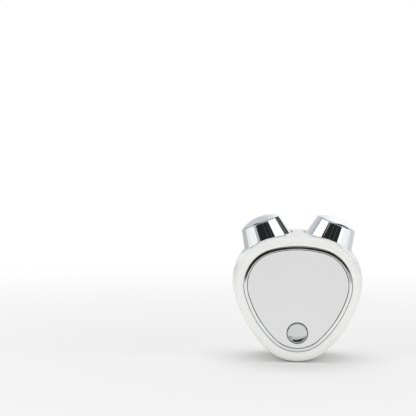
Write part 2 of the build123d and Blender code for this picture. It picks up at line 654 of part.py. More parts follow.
def head_profile():
    """Half section of a hollow head without its hub: side, rounded edge, dome and walls."""
    cone = radians(HEAD_CONE)
    end = HEAD_END_RADIUS
    sphere = (end**2 + HEAD_DOME**2) / (2 * HEAD_DOME)
    centre = HEAD_RISE + HEAD_DOME - sphere
    half_way = end / 2
    outside = Wire(
        [
            Line((HEAD_BASE_RADIUS, -HEAD_SUNK), (end, HEAD_RISE)),
            ThreePointArc(
                (end, HEAD_RISE),
                (half_way, centre + sqrt(sphere**2 - half_way**2)),
                (0, HEAD_RISE + HEAD_DOME),
            ),
            Line((0, HEAD_RISE + HEAD_DOME), (0, -HEAD_SUNK)),
            Line((0, -HEAD_SUNK), (HEAD_BASE_RADIUS, -HEAD_SUNK)),
        ]
    )
    outer = make_face(outside)
    corner = outer.vertices().sort_by_distance((end, HEAD_RISE))[0]
    outer = fillet(corner, HEAD_EDGE)
    wall = HEAD_WALL / cos(cone)
    base = HEAD_BASE_RADIUS - wall
    roof = HEAD_RISE - HEAD_WALL
    roof_radius = base - (roof + HEAD_SUNK) * tan(cone)
    hollow = Polyline((0, -HEAD_SUNK), (base, -HEAD_SUNK), (roof_radius, roof), (0, roof), close=True)
    return outer - make_face(hollow)


def roller_head():
    """Chrome head, turned from its half section, with a hub that has the shaft's blind bore."""
    head = revolve(Plane.XZ * head_profile(), Axis.Z)
    hub_face = BUSH_TOP_S + AXIAL_PLAY
    head = head + barrel(HUB_RADIUS, hub_face, HEAD_RISE)
    return head - barrel(SHAFT_RADIUS, hub_face, SHAFT_TOP)


def roller_shaft():
    """Steel shaft with the clip's groove and a rounded lower end."""
    shaft = barrel(SHAFT_RADIUS, SHAFT_BOTTOM_S, SHAFT_TOP)
    shaft = fillet(shaft.edges().sort_by(Axis.Z)[0], SHAFT_END_ROUND)
    groove = barrel(SHAFT_RADIUS + 1, CLIP_TOP_S - CLIP, CLIP_TOP_S)
    return shaft - (groove - barrel(GROOVE_RADIUS, CLIP_TOP_S - CLIP, CLIP_TOP_S))


def shaft_clip():
    """E-clip in the shaft's groove, open on one side, with two relief notches."""
    clip = barrel(CLIP_RADIUS, CLIP_TOP_S - CLIP, CLIP_TOP_S)
    clip = clip - barrel(GROOVE_RADIUS, CLIP_TOP_S - CLIP, CLIP_TOP_S)
    clip = clip - block(0, FAR, -CLIP_MOUTH / 2, CLIP_MOUTH / 2, -FAR, 0)
    for turn in (120, 240):
        clip = clip - Rot(0, 0, turn) * Pos(GROOVE_RADIUS, 0, 0) * barrel(CLIP_NOTCH, -FAR, 0)
    return clip


def thrust_washer():
    """Steel washer between the upper bush and the clip."""
    low, high = WASHER_TOP_S - WASHER, WASHER_TOP_S
    return barrel(WASHER_RADIUS, low, high) - barrel(SHAFT_RADIUS + WASHER_FIT, low, high)


def floor_bush():
    """Flanged bush in the socket's floor."""
    bush = barrel(BUSH_RADIUS, BUSH_END_S, SOCKET_S) + barrel(BUSH_FLANGE_RADIUS, SOCKET_S, BUSH_TOP_S)
    return bush - barrel(SHAFT_RADIUS + SHAFT_FIT, BUSH_END_S, BUSH_TOP_S)


def frame_bush():
    """Flanged bush in the bracket."""
    top = SEAT_TOP + LOWER_BUSH_FLANGE
    bush = barrel(BUSH_RADIUS, SEAT_BOTTOM_S, SEAT_TOP) + barrel(LOWER_BUSH_FLANGE_RADIUS, SEAT_TOP, top)
    return bush - barrel(SHAFT_RADIUS + SHAFT_FIT, SEAT_BOTTOM_S, top)


def stake_s():
    """Place of the spring's stake along the shaft."""
    return SEAT_BOTTOM_S + STAKE_ABOVE_SEAT_END


def stake(radius, length):
    """Round stake on the bracket's outer seat face, in the shaft's own frame."""
    turned = Rot(0, 90, 0) * Cylinder(radius, length)
    return Pos(SEAT_HALF + length / 2, 0, stake_s()) * turned


def contact_spring():
    """Bronze leaf: staked to the bracket, and bent under the shaft's end."""
    half = SPRING_WIDTH / 2
    touch = SHAFT_BOTTOM_S - AXIAL_PLAY
    tab = block(SEAT_HALF, SEAT_HALF + SPRING, -half, half, touch - SPRING, SEAT_TOP)
    leaf = block(-SPRING_REACH, SEAT_HALF, -half, half, touch - SPRING, touch)
    return tab + leaf - stake(STAKE_RADIUS + SEAT_FIT, SPRING)


def roller_frame():
    """Moulded bracket: a cross plate with two leaning bearing blocks."""
    half = FRAME_HALF_WIDTH
    high_z = FRAME_LOW_Z + FRAME_HEIGHT
    plate = block(-half, half, FRAME_FRONT, FRAME_BACK_Y, FRAME_LOW_Z, high_z)
    plate = fillet(plate.edges().filter_by(Axis.Y), FRAME_CORNER)
    seat = block(-SEAT_HALF, SEAT_HALF, -SEAT_HALF, SEAT_HALF, SEAT_BOTTOM_S, SEAT_TOP)
    seat = chamfer(seat.edges().filter_by(Axis.Z), SEAT_CHAMFER)
    frame = plate
    for piece in both_sides(seat + stake(STAKE_RADIUS, SPRING + STAKE_PROUD)):
        frame = frame + piece
    for tool in both_sides(barrel(BUSH_RADIUS + SEAT_FIT, SEAT_BOTTOM_S, SEAT_TOP)):
        frame = frame - tool
    over_bush = barrel(LOWER_BUSH_FLANGE_RADIUS + HEAD_HOLE_CLEARANCE, SEAT_TOP, 0)
    under_bush = barrel(LOWER_BUSH_FLANGE_RADIUS, -FAR, SEAT_BOTTOM_S)
    for tool in both_sides(over_bush) + both_sides(under_bush):
        frame = frame - tool
    for side in (-1, 1):
        hole = SMALL_SHANK_RADIUS + SHANK_HOLE_CLEARANCE
        frame = frame - rod(side * FRAME_SCREW_X, FRAME_SCREW_Z, hole, -FAR, FAR)
    return frame


def usb_profile(grow):
    """Micro-USB shell outline in plan, grown by a clearance, with two bevelled corners."""
    half = USB_WIDTH / 2 + grow
    front = BOARD_BACK_Y - grow
    back = BOARD_BACK_Y + USB_HEIGHT + grow
    cut = USB_CHAMFER
    points = [(-half, front), (half, front), (half, back - cut), (half - cut, back)]
    points += [(cut - half, back), (-half, back - cut)]
    return make_face(Polyline(*points, close=True))


def usb_socket_shell():
    """Folded steel shell of the charging socket, closed at its back."""
    outer = extrude(Pos(0, 0, USB_FLUSH) * usb_profile(0), amount=USB_DEPTH)
    inner = extrude(Pos(0, 0, USB_FLUSH) * usb_profile(-USB_WALL), amount=USB_DEPTH - USB_WALL)
    return outer - inner


def usb_socket_tongue():
    """Contact tongue in the socket, standing on its back wall."""
    top = USB_FLUSH + USB_DEPTH - USB_WALL
    middle = BOARD_BACK_Y + USB_HEIGHT / 2
    low_y = middle - TONGUE_THICKNESS / 2
    half = TONGUE_WIDTH / 2
    return block(-half, half, low_y, low_y + TONGUE_THICKNESS, top - TONGUE_LENGTH, top)


def on_board(x, z, width, height, thickness):
    """Block soldered to the back of the board."""
    near_y, far_y = BOARD_BACK_Y, BOARD_BACK_Y + thickness
    return block(x - width / 2, x + width / 2, near_y, far_y, z - height / 2, z + height / 2)


def microcontroller():
    """Controller chip with two rows of gull-wing legs."""
    chip = on_board(CHIP_X, ROW_Z, CHIP_WIDTH, CHIP_LENGTH, CHIP_THICKNESS)
    for row in range(LEG_ROWS):
        z = ROW_Z + (row - (LEG_ROWS - 1) / 2) * LEG_PITCH
        chip = chip + on_board(CHIP_X, z, LEG_SPAN, LEG_WIDTH, LEG_THICKNESS)
    return chip


def charge_chip():
    """Small charging chip beside the socket."""
    z = USB_TOP + CHARGER_ABOVE_USB
    return on_board(CHARGER_X, z, CHARGER_WIDTH, CHARGER_LENGTH, CHARGER_THICKNESS)


def boost_coil():
    """Round drum coil that raises the voltage for the electrodes."""
    near_y, far_y = BOARD_BACK_Y, BOARD_BACK_Y + COIL_HEIGHT
    drum = rod(COIL_X, ROW_Z, COIL_RADIUS, near_y, near_y + COIL_FLANGE)
    drum = drum + rod(COIL_X, ROW_Z, COIL_WAIST_RADIUS, near_y, far_y)
    return drum + rod(COIL_X, ROW_Z, COIL_RADIUS, far_y - COIL_FLANGE, far_y)


def board_capacitors():
    """Ceramic capacitors: a row below the chip, one above it, and one towards the coil."""
    z = ROW_Z - (CHIP_LENGTH + CAPACITOR_LENGTH) / 2 - CAPACITOR_GAP
    places = [(CHIP_X - step * CAPACITOR_PITCH, z) for step in range(CAPACITORS_IN_ROW)]
    places.append((CHIP_X, ROW_Z + (CHIP_LENGTH + CAPACITOR_LENGTH) / 2 + CAPACITOR_GAP))
    places.append((CHIP_X + CAPACITOR_OFFSET, ROW_Z))
    return [on_board(x, z, CAPACITOR_WIDTH, CAPACITOR_LENGTH, CAPACITOR_THICKNESS) for x, z in places]


def battery_cell():
    """Pouch cell with rounded long edges and a stepped terminal end."""
    half = CELL_WIDTH / 2
    cell = block(-half, half, CELL_FRONT_Y, CELL_BACK_Y, CELL_BOTTOM, CELL_TOP)
    cell = fillet(cell.edges().filter_by(Axis.Z), CELL_EDGE)
    return cell - block(-half, half, CELL_BACK_Y - CELL_EDGE, FAR, CELL_TOP - CELL_STEP, FAR)


def battery_tape():
    """Double-sided tape between the cell and the rear wall."""
    half = CELL_WIDTH / 2 - CELL_TAPE_MARGIN
    low_z = CELL_BOTTOM + CELL_TAPE_MARGIN
    high_z = CELL_TOP - CELL_STEP - CELL_TAPE_MARGIN
    return block(-half, half, CELL_BACK_Y, REAR_INNER_Y, low_z, high_z)


def lead(points):
    """Round lead along straight runs, with each corner an arc as large as its runs allow."""
    places = [Vector(*point) for point in points]
    runs = [(after - before).length for before, after in zip(places, places[1:])]
    radii = []
    for index in range(1, len(places) - 1):
        turn = (places[index] - places[index - 1]).get_angle(places[index + 1] - places[index])
        shorter = min(runs[index - 1], runs[index])
        radii.append(LEAD_BEND * shorter / tan(radians(turn / 2)))
    path = FilletPolyline(*places, radius=radii)
    start = Plane(origin=places[0], z_dir=places[1] - places[0])
    return sweep(start * Circle(LEAD_RADIUS), path=path)


def battery_lead(side):
    """Lead from the cell's front face to the back of the board."""
    x = side * CELL_LEAD_X
    end_x = side * (CELL_LEAD_X + CELL_LEAD_SPREAD)
    z = CELL_TOP - CELL_LEAD_DROP
    end_z = z - CELL_LEAD_FALL
    points = [(x, CELL_FRONT_Y, z), (x, CELL_FRONT_Y - CELL_LEAD_STRAIGHT, z)]
    points += [(end_x, BOARD_BACK_Y + CELL_LEAD_STRAIGHT, end_z), (end_x, BOARD_BACK_Y, end_z)]
    return lead(points)


def electrode_lead(side):
    """Lead from a contact spring's tab to the back of the board."""
    plane = shaft_plane(side)
    height = SEAT_TOP - ELECTRODE_LEAD_BELOW_SEAT
    tab = SEAT_HALF + SPRING
    start = plane.from_local_coords(Vector(tab, 0, height))
    out = plane.from_local_coords(Vector(tab + ELECTRODE_LEAD_STRAIGHT, 0, height))
    x = side * (BOARD_HALF_WIDTH - ELECTRODE_LEAD_IN)
    z = BOARD_TOP - ELECTRODE_LEAD_DROP
    middle_x = side * (FRAME_SCREW_X - ELECTRODE_LEAD_IN_FROM_SCREW)
    middle_z = BOARD_SCREW_Z + ELECTRODE_LEAD_ABOVE_SCREW
    middle = (middle_x, BOARD_BACK_Y + ELECTRODE_LEAD_BACK, middle_z)
    points = [start, out, middle, (x, BOARD_BACK_Y + ELECTRODE_LEAD_END, z), (x, BOARD_BACK_Y, z)]
    return lead(points)


def write(name, shape):
    """Writes one named piece, or a group of like pieces, as a STEP file."""
    group = shape if isinstance(shape, list) else [shape]
    solids = [solid for piece in group for solid in piece.solids()]
    export_step(Compound(children=solids) if len(solids) > 1 else solids[0], f"parts/{name}.step")


os.makedirs("parts", exist_ok=True)

write("front_shell", front_shell())
write("rear_shell", rear_shell())
write("trim_ring", trim_ring())
write("mirror_plate", mirror_plate())
write("mirror_tape", mirror_tape())
write("housing_screws", housing_screws())
write("power_button", power_button())
write("switch_plunger", switch_plunger())
write("switch_body", switch_body())
write("main_board", main_board())
write("board_screws", board_screws())
write("microcontroller", microcontroller())
write("charge_chip", charge_chip())
write("boost_coil", boost_coil())
write("board_capacitors", board_capacitors())
write("usb_socket_shell", usb_socket_shell())
write("usb_socket_tongue", usb_socket_tongue())
write("battery_cell", battery_cell())
write("battery_tape", battery_tape())
write("battery_lead_red", battery_lead(-1))
write("battery_lead_black", battery_lead(1))
write("roller_frame", roller_frame())
write("frame_screws", frame_screws())

SHAFT_PIECES = {
    "roller": roller_head(),
    "roller_shaft": roller_shaft(),
    "shaft_clip": shaft_clip(),
    "thrust_washer": thrust_washer(),
    "floor_bush": floor_bush(),
    "frame_bush": frame_bush(),
    "contact_spring": contact_spring(),
}
for side_name, side in (("left", -1), ("right", 1)):
    for piece_name, piece in SHAFT_PIECES.items():
        write(f"{side_name}_{piece_name}", shaft_plane(side) * piece)
    write(f"{side_name}_electrode_lead", electrode_lead(side))
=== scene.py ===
import math
import bpy
from mathutils import Matrix, Vector


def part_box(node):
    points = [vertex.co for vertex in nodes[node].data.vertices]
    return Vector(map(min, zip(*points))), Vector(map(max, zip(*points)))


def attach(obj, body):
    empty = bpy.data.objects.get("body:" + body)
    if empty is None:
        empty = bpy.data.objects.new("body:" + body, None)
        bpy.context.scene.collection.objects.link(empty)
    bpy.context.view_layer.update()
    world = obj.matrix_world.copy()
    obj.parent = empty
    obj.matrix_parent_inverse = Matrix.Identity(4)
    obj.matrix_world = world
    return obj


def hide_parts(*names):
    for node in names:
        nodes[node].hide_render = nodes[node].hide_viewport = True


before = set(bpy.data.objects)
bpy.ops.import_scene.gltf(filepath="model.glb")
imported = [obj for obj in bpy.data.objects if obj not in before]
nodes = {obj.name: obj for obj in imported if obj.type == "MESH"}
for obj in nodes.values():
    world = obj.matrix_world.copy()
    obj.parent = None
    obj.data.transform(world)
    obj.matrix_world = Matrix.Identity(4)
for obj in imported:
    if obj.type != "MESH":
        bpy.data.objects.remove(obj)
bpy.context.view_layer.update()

MM = 0.001


# Casing shells: two injection-moulded halves in white ABS with a high polish. The front one
# carries the face panel, and both together form the sockets for the heads.

class Wire:
    """An output socket of a node tree. Arithmetic on it adds Math nodes."""

    def __init__(self, recipe, socket):
        self.recipe = recipe
        self.socket = socket

    def also(self, name):
        """Another output of the same node."""
        return Wire(self.recipe, self.socket.node.outputs[name])

    def maths(self, operation, *values):
        inputs = dict(enumerate(values))
        return self.recipe.node("ShaderNodeMath", {"operation": operation}, inputs)

    def __add__(self, other):
        return self.maths("ADD", self, other)

    def __sub__(self, other):
        return self.maths("SUBTRACT", self, other)

    def __rsub__(self, other):
        return self.maths("SUBTRACT", other, self)

    def __mul__(self, other):
        return self.maths("MULTIPLY", self, other)

    def __truediv__(self, other):
        return self.maths("DIVIDE", self, other)

    def __pow__(self, other):
        return self.maths("POWER", self, other)

    def __neg__(self):
        return self.maths("MULTIPLY", self, -1.0)

    def __abs__(self):
        return self.maths("ABSOLUTE", self)

    def ramp(self, low, high):
        """Rises smoothly from 0 at low to 1 at high."""
        settings = {"interpolation_type": "SMOOTHSTEP"}
        return self.recipe.node("ShaderNodeMapRange", settings, {0: self, 1: low, 2: high})

    __radd__ = __add__
    __rmul__ = __mul__


class Recipe:
    """A node tree that is written with one call for each node."""

    def __init__(self, tree):
        self.tree = tree
        tree.nodes.clear()

    def node(self, kind, settings=None, inputs=None, out=0):
        """Adds a node. Its settings come first, then the values or links of its sockets."""
        made = self.tree.nodes.new(kind)
        for name, value in (settings or {}).items():
            setattr(made, name, value)
        for name, value in (inputs or {}).items():
            socket = made.inputs[name]
            if isinstance(value, Wire):
                self.tree.links.new(value.socket, socket)
            elif socket.type == "RGBA":
                socket.default_value = (*value, 1.0)
            else:
                socket.default_value = value
        return Wire(self, made.outputs[out] if made.outputs else None)


class Finish(Recipe):
    """The recipe of a material."""

    def spot(self):
        """Place on the piece, in metres, as its three coordinates."""
        where = self.node("ShaderNodeTexCoord", out="Object")
        split = self.node("ShaderNodeSeparateXYZ", None, {0: where})
        return split, split.also("Y"), split.also("Z")

    def noise(self, scale, detail=2.0, stretch=(1.0, 1.0, 1.0)):
        """Noise fixed to the piece, from 0 to 1. The scale is in cycles per metre."""
        where = self.node("ShaderNodeTexCoord", out="Object")
        place = self.node("ShaderNodeMapping", None, {"Vector": where, "Scale": stretch})
        inputs = {"Vector": place, "Scale": scale, "Detail": detail}
        return self.node("ShaderNodeTexNoise", None, inputs)

    def blend(self, share, first, second):
        """Mixes two colours."""
        inputs = {0: share, 6: first, 7: second}
        return self.node("ShaderNodeMix", {"data_type": "RGBA"}, inputs, out=2)

    def bump(self, height, distance):
        """Normal of a surface whose relief is distance metres high."""
        return self.node("ShaderNodeBump", None, {"Height": height, "Distance": distance})

    def surface(self, **inputs):
        """Principled surface, with its sockets named by keyword, as the tree's output."""
        named = {name.replace("_", " "): value for name, value in inputs.items()}
        shader = self.node("ShaderNodeBsdfPrincipled", None, named)
        self.node("ShaderNodeOutputMaterial", None, {"Surface": shader})


def material(name):
    """A new material and the recipe that writes its nodes."""
    made = bpy.data.materials.new(name)
    made.use_nodes = True
    return made, Finish(made.node_tree)


def coat(made, *names):
    """Gives CAD pieces a material in place of the plain one that they came with."""
    for name in names:
        for holder in nodes[name].material_slots:
            holder.material = made


white_abs, finish = material("white_gloss_abs")
peel = finish.noise(420.0)
flow = finish.noise(45.0, 3.0, (1.0, 1.0, 0.3))
finish.surface(
    Base_Color=finish.blend(flow, (0.80, 0.797, 0.788), (0.82, 0.817, 0.808)),
    Roughness=0.15 + 0.05 * finish.noise(150.0),
    Normal=finish.bump(peel, 0.006 * MM),
    IOR=1.53,
)
coat(white_abs, "front_shell", "rear_shell")


# Screws: pan-head, zinc-plated steel with a cross recess. Three hold the shells together from
# under the face plate, two the bracket and two the board.

zinc_steel, finish = material("zinc_plated_steel")
grain = finish.noise(900.0, 4.0)
patch = finish.noise(260.0)
finish.surface(
    Base_Color=finish.blend(patch, (0.52, 0.54, 0.57), (0.66, 0.67, 0.68)),
    Roughness=0.24 + 0.16 * grain,
    Normal=finish.bump(grain, 0.012 * MM),
    Metallic=1.0,
)
coat(zinc_steel, "housing_screws", "frame_screws", "board_screws")


# Face plate: a thin polished metal plate with a hole for the button. It lies on the ring's ledge
# and is stuck to the recess with a sheet of black foam tape.

PLATE_FRONT = -16.2 * MM
RIM_SHADE_FROM, RIM_SHADE_FULL = 0.01 * MM, 0.04 * MM
RIM_SHADE_GREY = (0.30, 0.30, 0.30)

plate_metal, finish = material("polished_plate")
_, y, _ = finish.spot()
# Everything behind the plate's front face, its rim and back, is painted dark grey and rough:
# painted shade in the gap round the plate.
edge = (y - PLATE_FRONT).ramp(RIM_SHADE_FROM, RIM_SHADE_FULL)
polished = finish.blend(finish.noise(90.0), (0.81, 0.815, 0.81), (0.825, 0.83, 0.825))
finish.surface(
    Base_Color=finish.blend(edge, polished, RIM_SHADE_GREY),
    Roughness=0.05 + 0.02 * finish.noise(300.0) + 0.5 * edge,
    Metallic=1.0,
)
coat(plate_metal, "mirror_plate")

foam, finish = material("foam_tape")
cells = finish.noise(2500.0, 4.0)
finish.surface(
    Base_Color=finish.blend(cells, (0.03, 0.03, 0.032), (0.07, 0.07, 0.072)),
    Roughness=0.85 + 0.1 * cells,
    Normal=finish.bump(cells, 0.08 * MM),
)
coat(foam, "mirror_tape")


# Trim ring: chrome-plated ABS with a shallow crowned bevel that falls outwards to a rolled edge.
# It is pressed into the recess round the plate and carries it on a ledge. Sizes in millimetres.

PANEL_WIDTH, PANEL_CROWN, PANEL_TIP = 52.0, 50.7, -0.35
CROWN_RADIUS, SHOULDER_RADIUS, FLANK_RADIUS, TIP_RADIUS = 44.0, 19.4, 46.0, 18.6
RING_INSET, RING_WIDTH, RING_LEDGE = 4.7, 1.36, 0.74
RING_BACK, LEDGE_FRONT, RING_CREST = 14.7, 15.3, 16.4
RING_CROWN, RING_FALL = math.radians(3.0), math.radians(21.0)
RING_ROLL, RING_CHAMFER = 0.25, 0.04
CREVICE_SHADE_FROM, CREVICE_SHADE_FULL = 0.215, 0.26   # below the crest
SEAM_CLOSING = 0.0005
PATH_STEPS, CROWN_STEPS, ROLL_STEPS = 48, 16, 8


def arc(centre, radius, start, end, steps):
    """Points along a circular arc between two angles in radians, both ends included."""
    turns = [start + (end - start) * step / steps for step in range(steps + 1)]
    return [(centre[0] + radius * math.cos(t), centre[1] + radius * math.sin(t)) for t in turns]


def panel_path(inset, steps):
    """Closed path round the face panel, moved inwards by inset: four tangent arcs a side."""
    crown = Vector((0.0, PANEL_CROWN - CROWN_RADIUS))
    tip = Vector((0.0, PANEL_TIP + TIP_RADIUS))
    out = PANEL_WIDTH / 2 - SHOULDER_RADIUS
    rise = math.sqrt((CROWN_RADIUS - SHOULDER_RADIUS) ** 2 - out**2)
    shoulder = crown + Vector((out, rise))
    span = tip - shoulder
    to_shoulder, to_tip = FLANK_RADIUS - SHOULDER_RADIUS, FLANK_RADIUS - TIP_RADIUS
    along = (to_shoulder**2 - to_tip**2 + span.length_squared) / (2 * span.length)
    across = math.sqrt(to_shoulder**2 - along**2)
    flank = shoulder + (span * along + Vector((span.y, -span.x)) * across) / span.length
    joints = [-math.pi / 2]
    for start, end in ((flank, tip), (flank, shoulder), (crown, shoulder)):
        joints.append(math.atan2(end.y - start.y, end.x - start.x))
    joints.append(math.pi / 2)
    right = []
    arcs = (
        (tip, TIP_RADIUS),
        (flank, FLANK_RADIUS),
        (shoulder, SHOULDER_RADIUS),
        (crown, CROWN_RADIUS),
    )
    for (centre, radius), start, end in zip(arcs, joints, joints[1:]):
        right += arc(centre, radius - inset, start, end, steps)[:-1]
    right.append((0.0, PANEL_CROWN - inset))
    left = [(-x, y) for x, y in reversed(right[1:-1])]
    return right + left


def shaping_recipe(name, on_axis):
    """Nodes that carry a section round an axis, or along a path that another mesh gives."""
    group = bpy.data.node_groups.new(name, "GeometryNodeTree")
    sizes = [("Section", "NodeSocketGeometry")]
    if on_axis:
        sizes += [("Segments", "NodeSocketInt"), ("Core Radius", "NodeSocketFloat")]
    else:
        sizes += [("Path", "NodeSocketObject")]
    sizes += [("Sharp Edge", "NodeSocketFloat"), ("Finish", "NodeSocketMaterial")]
    for label, kind in sizes:
        group.interface.new_socket(label, in_out="INPUT", socket_type=kind)
    group.interface.new_socket("Piece", in_out="OUTPUT", socket_type="NodeSocketGeometry")
    recipe = Recipe(group)
    given = recipe.node("NodeGroupInput")
    flipped = {"Geometry": given, "Scale": (1.0, -1.0, 1.0)}
    if on_axis:
        core = given.also("Core Radius")
        flipped["Translation"] = recipe.node("ShaderNodeCombineXYZ", None, {"X": -core})
        circle = {"Resolution": given.also("Segments"), "Radius": core}
        path = recipe.node("GeometryNodeCurvePrimitiveCircle", None, circle)
    else:
        named = {"Object": given.also("Path")}
        other = recipe.node("GeometryNodeObjectInfo", None, named, out="Geometry")
        path = recipe.node("GeometryNodeMeshToCurve", None, {"Mesh": other})
    section = recipe.node("GeometryNodeTransform", None, flipped)
    section = recipe.node("GeometryNodeMeshToCurve", None, {"Mesh": section})
    carried = {"Curve": path, "Profile Curve": section}
    piece = recipe.node("GeometryNodeCurveToMesh", None, carried)
    closed = {"Geometry": piece, "Distance": SEAM_CLOSING * MM}
    piece = recipe.node("GeometryNodeMergeByDistance", None, closed)
    smooth = {"Geometry": piece, "Shade Smooth": True}
    piece = recipe.node("GeometryNodeSetShadeSmooth", None, smooth)
    angle = recipe.node("GeometryNodeInputMeshEdgeAngle")
    sharp = {0: angle, 1: given.also("Sharp Edge")}
    sharp = recipe.node("FunctionNodeCompare", {"operation": "GREATER_THAN"}, sharp)
    creased = {"Geometry": piece, "Selection": sharp, "Shade Smooth": False}
    piece = recipe.node("GeometryNodeSetShadeSmooth", {"domain": "EDGE"}, creased)
    piece = recipe.node("GeometryNodeRealizeInstances", None, {"Geometry": piece})
    painted = {"Geometry": piece, "Material": given.also("Finish")}
    piece = recipe.node("GeometryNodeSetMaterial", None, painted)
    recipe.node("NodeGroupOutput", None, {"Piece": piece})
    return group


def line_piece(name, points, closed):
    """Object that holds a line through points given in millimetres."""
    count = len(points)
    edges = [(step, (step + 1) % count) for step in range(count if closed else count - 1)]
    mesh = bpy.data.meshes.new(name)
    mesh.from_pydata([(x * MM, y * MM, 0.0) for x, y in points], edges, [])
    piece = bpy.data.objects.new(name, mesh)
    bpy.context.scene.collection.objects.link(piece)
    return piece


def run_recipe(piece, group, place, **sizes):
    """Runs a recipe on a piece, keeps the result as its plain mesh, and puts that in place.

    The sizes are named after the recipe's inputs. An empty first material slot is dropped.
    """
    shaping = piece.modifiers.new("shaping", "NODES")
    shaping.node_group = group
    for item in group.interface.items_tree:
        key = item.name.replace(" ", "_").lower()
        if item.in_out == "INPUT" and key in sizes:
            shaping[item.identifier] = sizes[key]
    graph = bpy.context.evaluated_depsgraph_get()
    mesh = bpy.data.meshes.new_from_object(piece.evaluated_get(graph))
    piece.modifiers.remove(shaping)
    if mesh.materials[0] is None:
        mesh.materials.pop(index=0)
    mesh.transform(place)
    mesh.name = piece.name
    piece.data = mesh
    return piece


GUARD_REACH = 0.06   # from a run's end to its guard point
LONG_RUN = 6 * GUARD_REACH


def with_guards(points):
    """Adds a point near both ends of each long straight run, which keeps its shading flat."""
    guarded = [points[0]]
    for start, end in zip(points, points[1:]):
        run = math.dist(start, end)
        if run > LONG_RUN:
            for share in (GUARD_REACH / run, 1 - GUARD_REACH / run):
                guarded.append(tuple(a + (b - a) * share for a, b in zip(start, end)))
        guarded.append(end)
    return guarded


ring_chrome, finish = material("ring_chrome")
_, y, _ = finish.spot()
# Every part of the ring more than 0.26 mm below its crest, down in the gaps beside the shell and
# the plate, is painted near black and rough: painted shade.
crevice_shade = (y + RING_CREST * MM).ramp(CREVICE_SHADE_FROM * MM, CREVICE_SHADE_FULL * MM)
bright = finish.blend(finish.noise(70.0), (0.88, 0.885, 0.89), (0.91, 0.915, 0.92))
finish.surface(
    Base_Color=finish.blend(crevice_shade, bright, (0.09, 0.09, 0.095)),
    Roughness=0.03 + 0.03 * finish.noise(260.0) + 0.3 * crevice_shade,
    Metallic=1.0,
)

FACING_FRONT = Matrix.Rotation(math.pi / 2, 4, "X")
SHARP = math.radians(32.0)
moulding = shaping_recipe("ring_moulding", on_axis=False)
crown_reach = RING_WIDTH - RING_CHAMFER - RING_ROLL * (1 - math.sin(RING_FALL))
crown_radius = crown_reach / (math.sin(RING_FALL) - math.sin(RING_CROWN))
upright = math.pi / 2
crest = (RING_CHAMFER - RING_WIDTH, RING_CREST)
crown_centre = (
    crest[0] - crown_radius * math.sin(RING_CROWN),
    crest[1] - crown_radius * math.cos(RING_CROWN),
)
turns = upright - RING_FALL, upright - RING_CROWN
crown = arc(crown_centre, crown_radius, *turns, CROWN_STEPS)
roll_centre = (-RING_ROLL, crown[0][1] - RING_ROLL * math.cos(RING_FALL))
section = [(0.0, RING_BACK), *arc(roll_centre, RING_ROLL, 0.0, turns[0], ROLL_STEPS)]
section += [*crown[1:], (-RING_WIDTH, RING_CREST - RING_CHAMFER)]
section += [(-RING_WIDTH, LEDGE_FRONT), (-RING_WIDTH - RING_LEDGE, LEDGE_FRONT)]
section += [(-RING_WIDTH - RING_LEDGE, RING_BACK), (0.0, RING_BACK)]
section.reverse()
path = line_piece("ring_path", panel_path(RING_INSET, PATH_STEPS), True)
ring = line_piece("chrome_ring", with_guards(section)[:-1], True)
run_recipe(ring, moulding, FACING_FRONT, path=path, sharp_edge=SHARP, finish=ring_chrome)
bpy.data.objects.remove(path)
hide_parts("trim_ring")
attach(ring, "housing")


# Heads: chrome-plated hollow cones with a shallow dome on the end. Each is turned on its axis,
# open below, and its hub is pressed on the shaft.

LEAN = math.radians(21.7)
HEAD_X, HEAD_Z = 12.2375, 46.8
HEAD_LOW, HEAD_END, HEAD_DOME = -1.0, 7.83, 2.3
HEAD_BASE_RADIUS, HEAD_END_RADIUS, HEAD_EDGE = 10.118, 8.0793, 0.6
HEAD_CONE = math.radians(13.0)
HEAD_INNER_RADIUS, HEAD_ROOF = 8.886, 6.63
HUB_RADIUS, HUB_LOW, BORE_RADIUS, BORE_TOP = 4.0, -1.9, 2.0, 5.0
TURNED_SEGMENTS, DOME_STEPS, EDGE_STEPS = 192, 28, 8
CORE_RADIUS = 1.0   # of the circle that carries the section, which doesn't show

chrome, finish = material("bright_chrome")
finish.surface(
    Base_Color=finish.blend(finish.noise(70.0), (0.90, 0.905, 0.91), (0.93, 0.935, 0.94)),
    Roughness=0.03 + 0.03 * finish.noise(260.0),
    Metallic=1.0,
)

turning = shaping_recipe("head_turning", on_axis=True)


def turned(name, half_section, place, finish):
    """Turns a half section, given as radius and height, about its axis."""
    piece = line_piece(name, with_guards(half_section), False)
    return run_recipe(
        piece, turning, place,
        segments=TURNED_SEGMENTS, core_radius=CORE_RADIUS * MM, sharp_edge=SHARP, finish=finish,
    )


